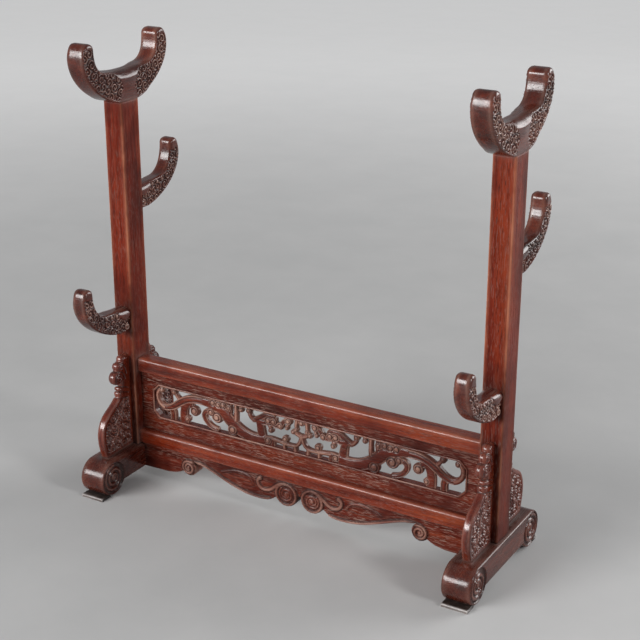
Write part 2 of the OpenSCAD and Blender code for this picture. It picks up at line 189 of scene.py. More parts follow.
def joint_wax(p):
    """How near each point is to a joint, where wax and dust collect."""
    x, y, z = np.abs(p[:, 0]), np.abs(p[:, 1]), p[:, 2]

    def gap(a, low_a, high_a, b, low_b, high_b):
        return np.hypot(np.maximum(np.maximum(low_a - a, a - high_a), 0),
                        np.maximum(np.maximum(low_b - b, b - high_b), 0))
    post = gap(x, INNER_X, INNER_X + POST_W, y, 0, FACE_Y)
    plate = gap(x, POST_X - SPANDREL_T / 2, POST_X + SPANDREL_T / 2, y, FACE_Y, FACE_Y + 39)
    rails = [np.hypot(gap(y, 0, d / 2, z, low, low + h), x - INNER_X)
             for d, low, h in ((UPPER_D, UPPER_Z, UPPER_H), (LOWER_D, LOWER_Z, LOWER_H))]
    return np.exp(-np.minimum.reduce([np.hypot(np.minimum(post, plate), z - FOOT_TOP),
                                      np.hypot(post, z - POST_TOP), *rails]) / WAX_REACH)


def piece(name, shape, material, slot, *nodes):
    """A shape in millimetres becomes a piece that stands for some CAD nodes.

    A shape is its points, its faces, how much each point is darkened (mostly painted shade, some stain) and
    how much it is paled (wear, and painted highlight).
    """
    points, faces, cavity, edge = shape
    mesh = bpy.data.meshes.new(name)
    mesh.from_pydata((points * MM).tolist(), [], faces)
    mesh.validate(clean_customdata=False)
    mesh.update()
    mesh.polygons.foreach_set("use_smooth", [True] * len(mesh.polygons))
    # cavity darkens with painted shade (and stain), edge pales with wear and painted highlight
    for key, values in (("cavity", cavity), ("edge", edge), ("wax", joint_wax(points))):
        share = np.clip(np.asarray(values, np.float32), 0, 1)
        mesh.attributes.new(key, "FLOAT", "POINT").data.foreach_set("value", share)
    obj = bpy.data.objects.new(name, mesh)
    SCENE.collection.objects.link(obj)
    mesh.materials.append(material)
    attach(obj, "root")
    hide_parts(*nodes)


def slab(g, d, height, radius, cavity, place, rows=3, crest=None, rim_wear=1.0):
    """Closed relief mesh over the part of a grid where d is negative, with the same relief on both faces.

    height is that of each face above the middle, and radius rounds both towards the outline. rows is the
    number of steps between the faces along the rim. cavity marks how much each point is darkened, mostly as
    painted shade, crest marks ridges painted pale as wear and painted highlight, and rim_wear how much their
    rim is worn. place maps (u, v, w) to the model. Returns a shape for a piece.
    """
    # Grid points close to the outline are moved onto it
    h = g.pitch
    gu, gv = np.gradient(d, h)
    n = np.hypot(gu, gv) + 1e-9
    snap = np.abs(d) < 0.3 * h
    u = np.where(snap, g.U - d * gu / n, g.U)
    v = np.where(snap, g.V - d * gv / n, g.V)
    q = np.where(snap, 0.0, d)
    keep = q <= 0
    ids = np.full(q.shape, -1)
    ids[keep] = np.arange(keep.sum())
    crest = np.zeros_like(q) if crest is None else crest
    stack = np.stack([u, v, -q, height, radius, cavity, crest], -1)
    # Points are added where grid lines cross the outline
    rows_of = [stack[keep]]
    count = int(keep.sum())
    cross = {}
    for axis in (0, 1):
        a = (slice(None, -1), slice(None)) if axis == 0 else (slice(None), slice(None, -1))
        b = (slice(1, None), slice(None)) if axis == 0 else (slice(None), slice(1, None))
        m = ((q[a] < 0) & (q[b] > 0)) | ((q[a] > 0) & (q[b] < 0))
        t = (q[a] / np.where(m, q[a] - q[b], 1))[..., None]
        mixed = stack[a] * (1 - t) + stack[b] * t
        mixed[..., 2] = 0
        rows_of.append(mixed[m])
        at = np.full(m.shape, -1)
        at[m] = count + np.arange(m.sum())
        count += int(m.sum())
        cross[axis] = at
    data = np.vstack(rows_of)
    # Whole cells, then those that the outline cuts
    k = keep.astype(int)
    inner = k[:-1, :-1] + k[1:, :-1] + k[1:, 1:] + k[:-1, 1:]
    i, j = np.nonzero(inner == 4)
    quads = np.stack([ids[i, j], ids[i + 1, j], ids[i + 1, j + 1], ids[i, j + 1]], 1)
    cells = []
    for i, j in zip(*np.nonzero((inner > 0) & (inner < 4))):
        ring = []
        corners = ((i, j), (i + 1, j), (i + 1, j + 1), (i, j + 1))
        edges = (cross[0][i, j], cross[1][i + 1, j], cross[0][i, j + 1], cross[1][i, j])
        for c, e in zip(corners, edges):
            if keep[c]:
                ring.append(int(ids[c]))
            if e >= 0:
                ring.append(int(e))
        if len(ring) > 2:
            cells.append(ring)
    # Rim edges belong to one face only
    pairs = [np.stack([quads, np.roll(quads, -1, 1)], -1).reshape(-1, 2)]
    for ring in cells:
        pairs.append(np.stack([ring, np.roll(ring, -1)], 1))
    pairs = np.vstack(pairs)
    code = pairs[:, 0] * count + pairs[:, 1]
    rim = pairs[~np.isin(code, pairs[:, 1] * count + pairs[:, 0])]
    used = np.zeros(count, bool)
    used[pairs[:, 0]] = True
    # Both faces, rounded towards the outline, and the rim between them
    depth, r = data[:, 2], data[:, 4]
    drop = r - np.sqrt(np.clip(r * r - (r - np.minimum(depth, r)) ** 2, 0, None))
    up = data[:, 3] - drop
    levels = [np.column_stack([data[:, :2], up]), np.column_stack([data[:, :2], -up])]
    faces = [list(f) for f in quads.tolist()] + cells
    faces = faces + [[x + count for x in reversed(f)] for f in faces]
    on_rim = np.unique(rim)
    where = np.full(count, -1)
    where[on_rim] = np.arange(len(on_rim))
    steps = [np.arange(count)]
    base = 2 * count
    for s in range(1, rows):
        f = s / rows
        levels.append(np.column_stack([data[on_rim, :2], up[on_rim] * (1 - f) - up[on_rim] * f]))
        steps.append(base + where)
        base += len(on_rim)
    steps.append(np.arange(count) + count)
    a, b = rim[:, 0], rim[:, 1]
    for hi, lo in zip(steps, steps[1:]):
        faces += np.stack([hi[a], lo[a], lo[b], hi[b]], 1).tolist()
    points = np.vstack(levels)
    wear = np.maximum(rim_wear * np.exp(-depth / RUB_REACH), data[:, 6])
    cav = np.concatenate([data[:, 5], data[:, 5]] + [data[on_rim, 5]] * (rows - 1))
    edge = np.concatenate([wear, wear] + [rim_wear * np.abs(2 * s / rows - 1) ** 4 * np.ones(len(on_rim))
                                          for s in range(1, rows)])
    keep_points = np.concatenate([used, used] + [np.ones(len(on_rim), bool)] * (rows - 1))
    fresh = np.cumsum(keep_points) - 1
    faces = [[int(fresh[x]) for x in f] for f in faces]
    points = place(points[keep_points])
    if place.flip:
        faces = [f[::-1] for f in faces]
    return points, faces, cav[keep_points], edge[keep_points]


def side_place(x, y=0.0, z=0.0, turn=1):
    """Drawing laid in Y and Z at a given X. A turn of -1 faces it to the front."""
    def place(p):
        return np.column_stack([p[:, 2] + x, turn * p[:, 0] + y, p[:, 1] + z])
    place.flip = turn < 0
    return place


def front_place():
    """Drawing laid in X and Z, its upper side to the front."""
    def place(p):
        return np.column_stack([p[:, 0], -p[:, 2], p[:, 1]])
    place.flip = False
    return place


def bar(section, low, high, step, place, seed, wobble):
    """Bar drawn out along its length with a hand-planed surface, from a section and its wear.

    place maps (u, v, w) to the model. Returns a shape for a piece.
    """
    rng = np.random.default_rng(seed)
    ring, wear = section
    n = len(ring)
    rise = np.roll(ring, -1, 0) - np.roll(ring, 1, 0)
    normal = np.stack([rise[:, 1], -rise[:, 0]], 1)
    normal /= np.hypot(normal[:, 0], normal[:, 1])[:, None]
    along = np.linspace(low, high, max(2, int((high - low) / step)) + 1)
    angle = np.linspace(0, 2 * math.pi, n, endpoint=False)
    waves = [(rng.uniform(0.02, 0.16), rng.integers(0, 4), rng.uniform(0, 6.28)) for _ in range(7)]
    points = []
    for w in along:
        lift = sum(np.sin(k * w + m * angle + f) for k, m, f in waves) * wobble / len(waves)
        p = ring + normal * lift[:, None]
        points.append(np.column_stack([p, np.full(n, w)]))
    faces = []
    for s in range(len(along) - 1):
        for i in range(n):
            k = (i + 1) % n
            faces.append([s * n + i, s * n + k, (s + 1) * n + k, (s + 1) * n + i])
    faces.append(list(range(n))[::-1])
    faces.append([(len(along) - 1) * n + i for i in range(n)])
    points = place(np.vstack(points))
    return points, faces, np.zeros(len(points)), np.tile(wear, len(along))


def rounded(width, height, radii, per=7, flat=2.5):
    """Anticlockwise ring of a rectangle about the origin with its own radius at each corner.

    The radii start at the lower right corner. Also returns how near each point is to an edge.
    """
    ring, wear = [], []
    signs = ((1, -1), (1, 1), (-1, 1), (-1, -1))
    for k, ((sx, sy), r) in enumerate(zip(signs, radii)):
        centre = np.array([sx * (width / 2 - r), sy * (height / 2 - r)])
        start = -math.pi / 2 + k * math.pi / 2
        for s in range(per + 1):
            a = start + s / per * math.pi / 2
            ring.append(centre + r * np.array([math.cos(a), math.sin(a)]))
            wear.append(1 - abs(2 * s / per - 1) ** 2 * 0.7)
    full, glow = [], []
    for a, b, wa, wb in zip(ring, ring[1:] + ring[:1], wear, wear[1:] + wear[:1]):
        gap = float(np.hypot(*(b - a)))
        count = max(1, int(round(gap / flat)))
        for s in range(count):
            t = s / count
            full.append(a * (1 - t) + b * t)
            inward = min(t, 1 - t) * gap
            glow.append(max(wa * (1 - t) + wb * t, 0) * math.exp(-inward / RUB_REACH) if count > 1 else wa)
    return np.array(full), np.array(glow)


def axis_place(kind, shift):
    """Section drawn in two axes and drawn out along the third."""
    order = {"z": (0, 1, 2), "x": (2, 0, 1)}[kind]

    def place(p):
        return p[:, order] + np.array(shift)
    return place


# Materials

class Net:
    """Short way to add linked nodes to a material."""

    def __init__(self, name):
        self.material = bpy.data.materials.new(name)
        self.material.use_nodes = True
        self.tree = self.material.node_tree
        self.shader = self.tree.nodes["Principled BSDF"]

    def add(self, kind, *inputs, out=0, **settings):
        node = self.tree.nodes.new("ShaderNode" + kind)
        for key, value in settings.items():
            if key in node.inputs:
                self.put(node.inputs[key], value)
            else:
                setattr(node, key, value)
        for socket, value in zip(node.inputs, inputs):
            self.put(socket, value)
        return node.outputs[out]

    def put(self, socket, value):
        if isinstance(value, bpy.types.NodeSocket):
            self.tree.links.new(value, socket)
        elif value is not None:
            socket.default_value = value

    def math(self, operation, *inputs):
        return self.add("Math", *inputs, operation=operation)

    def remap(self, value, a, b, low=0.0, high=1.0):
        return self.add("MapRange", value, a, b, low, high, interpolation_type="SMOOTHSTEP")

    def ramp(self, value, *stops):
        socket = self.add("ValToRGB", value)
        ramp = socket.node.color_ramp
        while len(ramp.elements) < len(stops):
            ramp.elements.new(0.5)
        for element, (at, colour) in zip(ramp.elements, stops):
            element.position = at
            element.color = (*colour, 1)
        return socket

    def mix(self, factor, a, b, blend="MIX"):
        node = self.tree.nodes.new("ShaderNodeMix")
        node.data_type, node.blend_type, node.clamp_factor = "RGBA", blend, True
        self.put(node.inputs[0], factor)
        self.put(node.inputs[6], a if isinstance(a, bpy.types.NodeSocket) else (*a, 1))
        self.put(node.inputs[7], b if isinstance(b, bpy.types.NodeSocket) else (*b, 1))
        return node.outputs[2]


def wood(name, grain, tones, dust, rough, shine, rub_and_highlight, bare_and_highlight):
    """Waxed rosewood: banded colour, dark and dusty pores, edges and ridges paled by wear and painted
    highlight, waxy joints, and painted shade in recesses.

    grain is the axis it runs along, tones its dark, middle and pale colour, dust how pale its pores are,
    rub_and_highlight how much its edges and ridges are paled, by wear and painted highlight, and
    bare_and_highlight the colour they are paled to.
    """
    deep, mid, pale = tones
    net = Net(name)
    place = net.add("TexCoord", out=3)
    random = net.add("ObjectInfo", out=5)
    shifted = net.add("VectorMath", random, (3.1, 5.3, 7.7), place, operation="MULTIPLY_ADD")

    def stretched(share):
        scale = [1.0, 1.0, 1.0]
        scale["xyz".index(grain)] = share
        return net.add("VectorMath", shifted, tuple(scale), operation="MULTIPLY")

    band = net.add("TexNoise", Vector=stretched(0.07), Scale=60.0, Detail=4.0, Roughness=0.6, Distortion=0.8)
    fine = net.add("TexNoise", Vector=stretched(0.045), Scale=560.0, Detail=3.0, Roughness=0.6,
                   Distortion=0.3)
    patch = net.add("TexNoise", Vector=shifted, Scale=22.0, Detail=3.0, Roughness=0.6)
    pore = net.add("TexNoise", Vector=stretched(0.085), Scale=1300.0, Detail=2.0, Roughness=0.5)
    fleck = net.add("TexNoise", Vector=stretched(0.10), Scale=1700.0, Detail=2.0, Roughness=0.5)
    pores = net.remap(pore, 0.55, 0.67)
    specks = net.remap(fleck, 0.53, 0.64)
    dusty = net.math("MULTIPLY", specks, net.remap(patch, 0.3, 0.62))
    cavity = net.add("Attribute", out=2, attribute_name="cavity")
    edge = net.add("Attribute", out=2, attribute_name="edge")
    wax = net.add("Attribute", out=2, attribute_name="wax")

    colour = net.ramp(band, (0.30, deep), (0.50, mid), (0.72, pale))
    streak = net.ramp(fine, (0.25, (0.60, 0.52, 0.50)), (0.55, (1.0, 1.0, 1.0)), (0.85, (1.28, 1.2, 1.15)))
    colour = net.mix(1.0, colour, streak, "MULTIPLY")
    blotch = net.ramp(patch, (0.32, (0.66, 0.60, 0.58)), (0.5, (1.0, 1.0, 1.0)), (0.7, (1.16, 1.22, 1.15)))
    colour = net.mix(1.0, colour, blotch, "MULTIPLY")
    colour = net.mix(net.math("MULTIPLY", pores, 0.6), colour, tuple(0.4 * c for c in deep))
    colour = net.mix(net.math("MULTIPLY", dusty, dust), colour, (0.21, 0.125, 0.10))
    # Edges and ridges paled: wear on plain edges, and painted highlight on carved ridges and on the pads'
    # edges
    rubbed_and_highlight = net.math("MULTIPLY", edge, net.remap(patch, 0.3, 0.7, 0.05 * rub_and_highlight, 0.4 * rub_and_highlight))
    colour = net.mix(rubbed_and_highlight, colour, bare_and_highlight)
    # Painted shade: hollows, joints and the pads' tops under their scrolls are darkened towards a dark
    # brown; the posts' stain and the yoke seats' darkening share this mix
    shade_and_stain = net.math("MULTIPLY", cavity, net.remap(patch, 0.2, 0.7, 0.97, 0.70))
    colour = net.mix(shade_and_stain, colour, tuple(0.14 * c for c in mid))
    waxy = net.math("MULTIPLY", wax, net.remap(patch, 0.35, 0.65, 0.05, 0.5))
    waxy = net.math("MAXIMUM", waxy, net.math("MULTIPLY", net.math("MULTIPLY", cavity, specks), 0.3))
    colour = net.mix(waxy, colour, (0.17, 0.135, 0.12))
    net.put(net.shader.inputs["Base Color"], colour)

    gloss = net.remap(fine, 0.3, 0.7, rough - 0.04, rough + 0.06)
    gloss = net.math("ADD", gloss, net.math("MULTIPLY", pores, 0.12))
    gloss = net.math("ADD", gloss, net.math("MULTIPLY", net.math("MAXIMUM", cavity, wax), 0.22))
    gloss = net.math("ADD", gloss, net.math("MULTIPLY", edge, 0.08))
    net.put(net.shader.inputs["Roughness"], gloss)

    height = net.math("SUBTRACT", net.math("MULTIPLY", fine, 0.35), net.math("MULTIPLY", pores, 0.6))
    height = net.math("ADD", height, net.math("MULTIPLY", patch, 0.8))
    bump = net.add("Bump", Strength=0.24, Distance=0.00018, Height=height)
    net.put(net.shader.inputs["Normal"], bump)
    net.shader.inputs["Specular IOR Level"].default_value = shine
    return net.material


TONES = (0.056, 0.0056, 0.0020), (0.135, 0.0130, 0.0044), (0.215, 0.0330, 0.0105)
DARK = (0.040, 0.0050, 0.0022), (0.098, 0.0115, 0.0045), (0.165, 0.0280, 0.0100)
DEEP = (0.030, 0.0045, 0.0022), (0.076, 0.0100, 0.0042), (0.140, 0.0250, 0.0095)
WARM = (0.062, 0.0066, 0.0022), (0.150, 0.0170, 0.0050), (0.240, 0.0420, 0.0115)
# The feet take DEEP's tones darkened by about a sixth: painted shade over the feet
SHADED_DEEP = (0.026, 0.0038, 0.0019), (0.062, 0.0082, 0.0035), (0.116, 0.0205, 0.0080)
GREY = (0.020, 0.012, 0.010), (0.050, 0.034, 0.029), (0.16, 0.13, 0.12)
RAIL = wood("rosewood_rail", "x", WARM,
            dust=0.35, rough=0.17, shine=0.30, rub_and_highlight=1.2, bare_and_highlight=(0.34, 0.13, 0.085))
POST = wood("rosewood_post", "z", TONES,
            dust=0.3, rough=0.28, shine=0.10, rub_and_highlight=2.4, bare_and_highlight=(0.44, 0.165, 0.095))
FOOT = wood("rosewood_foot", "y", SHADED_DEEP,
            dust=0.3, rough=0.17, shine=0.36, rub_and_highlight=1.1, bare_and_highlight=(0.30, 0.15, 0.115))
BOARD = wood("rosewood_board", "x", DARK,
             dust=1.0, rough=0.28, shine=0.18, rub_and_highlight=1.9, bare_and_highlight=(0.34, 0.19, 0.145))
CARVED_X = wood("carved_rosewood_panel", "x", DARK,
                dust=0.3, rough=0.22, shine=0.26, rub_and_highlight=2.2, bare_and_highlight=(0.40, 0.235, 0.175))
CARVED_Y = wood("carved_rosewood_arm", "y", DEEP,
                dust=0.15, rough=0.16, shine=0.42, rub_and_highlight=1.9, bare_and_highlight=(0.38, 0.235, 0.185))
CARVED_Z = wood("carved_rosewood_bracket", "z", DARK,
                dust=0.15, rough=0.16, shine=0.46, rub_and_highlight=1.3, bare_and_highlight=(0.30, 0.16, 0.125))
# Pad wood: its edges pale to near white, a painted highlight as well as wear
PAD_WEAR_AND_HIGHLIGHT = wood("pad_wood_worn_and_highlit", "x", GREY,
            dust=0.5, rough=0.24, shine=0.4, rub_and_highlight=2.4, bare_and_highlight=(0.56, 0.53, 0.51))


# Posts, rails and pads

# How dark the posts are next to the hooks and brackets, and how far that reaches in millimetres
STAIN, STAIN_REACH = 0.8, 12.0
BRACKET_TOP = FOOT_TOP + 93


def post(side, sx):
    """Square post, darker round its hooks and brackets."""
    place = axis_place("z", (sx * POST_X, 0, 0))
    section = rounded(POST_W, POST_D, (POST_ROUND,) * 4)
    points, faces, stain, wear = bar(section, FOOT_TOP, POST_TOP, 2.0, place, seed=11 + sx, wobble=0.10)
    x, y, z = np.abs(points[:, 0]), points[:, 1], points[:, 2]
    for face, low, high in ((FACE_Y, REAR_Z, REAR_Z + HOOK_SEAT), (-FACE_Y, FRONT_Z, FRONT_Z + HOOK_SEAT),
                            (-FACE_Y, FOOT_TOP, BRACKET_TOP), (FACE_Y, FOOT_TOP, BRACKET_TOP)):
        gap = np.hypot(np.maximum(np.abs(x - POST_X) - HOOK_W / 2, 0), y - face)
        gap = np.hypot(gap, np.maximum(np.maximum(low - z, z - high), 0))
        stain = np.maximum(stain, STAIN * np.exp(-gap / STAIN_REACH))
    piece(f"{side}_post_bar", (points, faces, stain, wear), POST, "plain_wood", f"{side}_post")


def rail(name, z, h, d, seed):
    """Cross rail with rounded upper edges."""
    section = rounded(d, h, (RAIL_ARRIS, RAIL_ROUND, RAIL_ROUND, RAIL_ARRIS))
    place = axis_place("x", (0, 0, z + h / 2))
    shape = bar(section, -INNER_X - LAP, INNER_X + LAP, 3.0, place, seed, wobble=0.10)
    piece(f"{name}_rail_bar", shape, RAIL, "plain_wood", f"{name}_rail")


def pad(side, sx, end, sy):
    """Floor pad, with painted shadow on its top under its scroll, and its edges and ends painted pale where
    it shows, as wear and painted highlight.
    """
    section = rounded(PAD_LEN, PAD_T, (0.4, 0.9, 0.9, 0.4), per=4, flat=0.8)
    place = axis_place("x", (sx * POST_X, sy * (PAD_REACH - PAD_LEN / 2), PAD_T / 2))
    seed = 31 + sx + 3 * sy
    points, faces, _, wear = bar(section, -PAD_W / 2, PAD_W / 2, 0.8, place, seed, wobble=0.12)
    points[:, 2] = np.maximum(points[:, 2], 0)
    # Painted shadow on the pad's top where it runs in under the scroll
    scroll_shadow = ease(PAD_REACH - np.abs(points[:, 1]), 1.2, 3.0)
    off = np.abs(points[:, 0]) - POST_X
    ends = np.exp((off - PAD_W / 2) / 0.5) + np.exp((-off - PAD_W / 2) / 0.5)
    # The pad's edges and ends painted pale, as wear and painted highlight, except in the painted shadow
    rubbed_and_highlight = 2 * np.maximum(wear, ends) * (1 - scroll_shadow)
    shape = points, faces, 0.9 * scroll_shadow, rubbed_and_highlight
    piece(f"{side}_{end}_pad_block", shape, PAD_WEAR_AND_HIGHLIGHT, "worn_pad", f"{side}_{end}_pad")


for side, sx in SIDES:
    post(side, sx)
rail("upper", UPPER_Z, UPPER_H, UPPER_D, 21)
rail("lower", LOWER_Z, LOWER_H, LOWER_D, 22)
for side, sx in SIDES:
    pad(side, sx, "front", -1)
    pad(side, sx, "back", 1)


# Feet with a raised spiral on each scrolled end

def foot(side, sx):
    """Sled foot, notched for its pads, with a spiral in a sunk disc on each scroll."""
    g = Grid(-SCROLL_Y - SCROLL_R, 0, SCROLL_Y + SCROLL_R, FOOT_TOP, FOOT_PITCH)
    zc = FOOT_TOP - SCROLL_R
    d = np.maximum(np.abs(g.U) - SCROLL_Y, np.maximum(FOOT_UNDER - g.V, g.V - FOOT_TOP))
    for s in (-1, 1):
        d = np.minimum(d, np.hypot(g.U - s * SCROLL_Y, g.V - zc) - SCROLL_R)
        notch = np.maximum(np.abs(g.U - s * (PAD_REACH - PAD_LEN / 2)) - PAD_LEN / 2, g.V - PAD_T)
        d = np.maximum(d, -notch)
    lift = g.blank()
    disc = g.blank()
    for s in (-1, 1):
        q = np.hypot(g.U - s * SCROLL_Y, g.V - zc)
        disc = np.maximum(disc, 1 - ease(q, 15.0, 15.9))
        line = spiral((s * SCROLL_Y, zc), 13.6, 2.8, math.pi / 2, -2.2 * s)
        g.ridge(lift, line, width=2.05, height=1.7, power=0.9)
        lift = np.maximum(lift, 1.8 * np.sqrt(np.clip(1 - (q / 3.2) ** 2, 0, 1)))
    height = FOOT_W / 2 - 1.6 * disc + lift
    # Painted shade in the sunk discs between the spiral's turns, and painted highlight with wear on its
    # crest
    cavity = 0.9 * disc * np.clip(1 - lift / 0.8, 0, 1)
    crest = 0.9 * disc * ease(lift, 1.1, 1.6)
    place = side_place(sx * POST_X)
    shape = slab(g, d, height, g.blank(1.8), cavity, place, rows=8, crest=crest, rim_wear=0.6)
    piece(f"{side}_scroll_foot", shape, FOOT, "plain_wood", f"{side}_foot")


for side, sx in SIDES:
    foot(side, sx)


# Yokes and hooks with curled carving on their sides

def arm_ring(reach, tall, seat, out, rise, thick):
    """Half outline of a yoke, or outline of a hook, as the CAD model draws it, with a fuller tip."""
    top = reach - thick / 2
    lip = reach - thick
    return cubic([
        (ROOT_FLAT, 0), (reach - 25, 4.5), (reach - 0.5, 22), (reach - 0.1, tall - 14),
        (reach - 0.3, tall - 7), (top + 5.2, tall), (top, tall),
        (top - 4.5, tall), (lip, tall - 1.5), (lip, tall - 6),
        (lip + 0.5, tall - 20), (reach - 21.5, seat + 2), (out, seat + rise),
        (14, seat + 0.33 * rise), (7, seat), (0, seat)])


def curls(g, mask, spacing, pitch, rng):
    """Closely set spirals of a carver's gouge over the part of a drawing that a mask marks, from 0 to 1."""
    spots = []
    i, j = np.nonzero(mask > 0.5)
    for k in rng.permutation(len(i)):
        p = (g.u[i[k]], g.v[j[k]])
        if all((p[0] - a) ** 2 + (p[1] - b) ** 2 > spacing ** 2 for a, b in spots):
            spots.append(p)
    first, second = g.blank(1e3), g.blank(1e3)
    turn = g.blank()
    for u, v in spots:
        q = np.hypot(g.U - u, g.V - v)
        hand = 1 if rng.random() < 0.5 else -1
        a = hand * np.arctan2(g.V - v, g.U - u) / (2 * math.pi) + rng.random()
        m = q < first
        second = np.where(m, first, np.minimum(second, q))
        first = np.where(m, q, first)
        turn = np.where(m, a, turn)
    ring = 0.5 + 0.5 * np.cos(2 * math.pi * (first / pitch - turn))
    return ring ** 0.8 * ease(second - first, 0.0, 0.9)


def yoke(side, sx, seed):
    """Yoke with curls on both arms, a plain waist and a soft seat."""
    rng = np.random.default_rng(seed)
    half = arm_ring(YOKE_REACH, YOKE_H, YOKE_SEAT, 26, 1.5, YOKE_HORN)
    ring = np.vstack([half, half[-2::-1] * (-1, 1)])
    g = Grid(-YOKE_REACH, 0, YOKE_REACH, YOKE_H, ARM_PITCH)
    d = g.outline(ring)
    waist = np.interp(g.V, (0, 6, 12, 19, 24, 28, 33), (14.5, 11.5, 8.8, 11.0, 15.5, 20.0, 22.0))
    plain = 1 - ease(np.abs(g.U) - waist, -0.7, 0.9)
    plain = np.maximum(plain, 1 - ease(g.V, 1.6, 2.8))
    plain = np.maximum(plain, 1 - ease(-d, 0.9, 2.6))
    plain = np.maximum(plain, ease(g.V, YOKE_H - 7, YOKE_H - 4))
    carved = 1 - plain
    lift = curls(g, carved, spacing=7.0, pitch=3.2, rng=rng)
    relief = carved * 2.0 * (lift - 0.85)
    pillow = np.exp(-(g.U / 20) ** 4) * ease(g.V, 13, 24)
    crown = 1.3 * np.exp(-(g.U / 13) ** 2) * ease(g.V, 4, 16)
    height = POST_W / 2 + relief + crown + 0.15 - 0.4 * ease(g.V, 3, 9)
    radius = 2.8 + 6.0 * pillow + 0.8 * ease(g.V, YOKE_H - 12, YOKE_H - 2)
    radius = np.where(g.V < 9, 0.4 + (radius - 0.4) * ease(g.V, 1.5, 9), radius)
    # Painted shade in the hollows between curls, and painted highlight with wear on the curls' crests; the
    # seat top is darkened as well
    cavity = carved * np.clip(1 - lift / 0.5, 0, 1)
    cavity = np.maximum(cavity, 0.6 * np.exp(-(g.U / 26) ** 4) * ease(g.V, 21, 27))
    crest = carved * ease(lift, 0.6, 1.0)
    place = side_place(sx * POST_X, 0, POST_TOP)
    shape = slab(g, d, height, radius, cavity, place, rows=7, crest=crest, rim_wear=0.3)
    piece(f"{side}_carved_yoke", shape, CARVED_Y, "carved_wood", f"{side}_yoke")


yoke("left", -1, 101)
yoke("right", 1, 102)


def hook(name, x, y, z, turn, seed):
    """Hook with curls, a smooth boss and a small spiral at its root, and a row of beads."""
    rng = np.random.default_rng(seed)
    half = arm_ring(HOOK_REACH, HOOK_H, HOOK_SEAT, 30, 1.5, HOOK_HORN)
    ring = np.vstack([[(-5, 0)], half, [(-5, HOOK_SEAT)]])
    g = Grid(-5, 0, HOOK_REACH, HOOK_H, ARM_PITCH)
    d = g.outline(ring)
    bump = np.hypot((g.U - 5) / 11.5, (g.V - HOOK_SEAT + 1) / 9.5)
    plain = 1 - ease(bump, 0.9, 1.08)
    plain = np.maximum(plain, ease(g.V - 0.25 * (g.U - HOOK_REACH), HOOK_H - 9, HOOK_H - 7))
    plain = np.maximum(plain, 1 - ease(-d, 0.9, 2.6))
    curl = np.hypot(g.U - 3.6, g.V - 5.0)
    carved = 1 - plain
    lift = curls(g, np.where(curl > 6, carved, 0), spacing=6.8, pitch=3.1, rng=rng)
    root = g.blank()
    g.ridge(root, spiral((3.6, 5.0), 3.6, 0.9, math.pi / 2, -1.3), 1.15, 1.0)
    lift = np.where(curl < 5.4, root, lift)
    for u, v in ((18.5, 20.0), (26.0, 20.5), (33.5, 21.5)):
        q = np.hypot(g.U - u, g.V - v)
        lift = np.where(q < 2.9, 1.25 * np.sqrt(np.clip(1 - (q / 2.4) ** 2, 0, 1)), lift)
    relief = carved * 1.9 * (lift - 0.85)
    height = HOOK_W / 2 + relief + 1.6 * np.sqrt(np.clip(1 - bump ** 2, 0, 1)) - 0.25
    radius = 2.8 + 4.0 * np.exp(-((g.U - 4) / 14) ** 4) * ease(g.V, 9, 19)
    radius = radius + 0.8 * ease(g.V, 40, 52)
    # Painted shade in the hollows between curls, and painted highlight with wear on their crests
    cavity = carved * np.clip(1 - lift / 0.5, 0, 1)
    crest = carved * ease(lift, 0.6, 1.0)
    place = side_place(x, y, z, turn)
    shape = slab(g, d, height, radius, cavity, place, rows=6, crest=crest, rim_wear=0.3)
    piece(name + "_carved", shape, CARVED_Y, "carved_wood", name)


for side, sx in SIDES:
    hook(f"{side}_rear_hook", sx * POST_X, FACE_Y, REAR_Z, 1, 111 + sx)
    hook(f"{side}_front_hook", sx * POST_X, -FACE_Y, FRONT_Z, -1, 121 + sx)


# Spandrels with a foliage ground

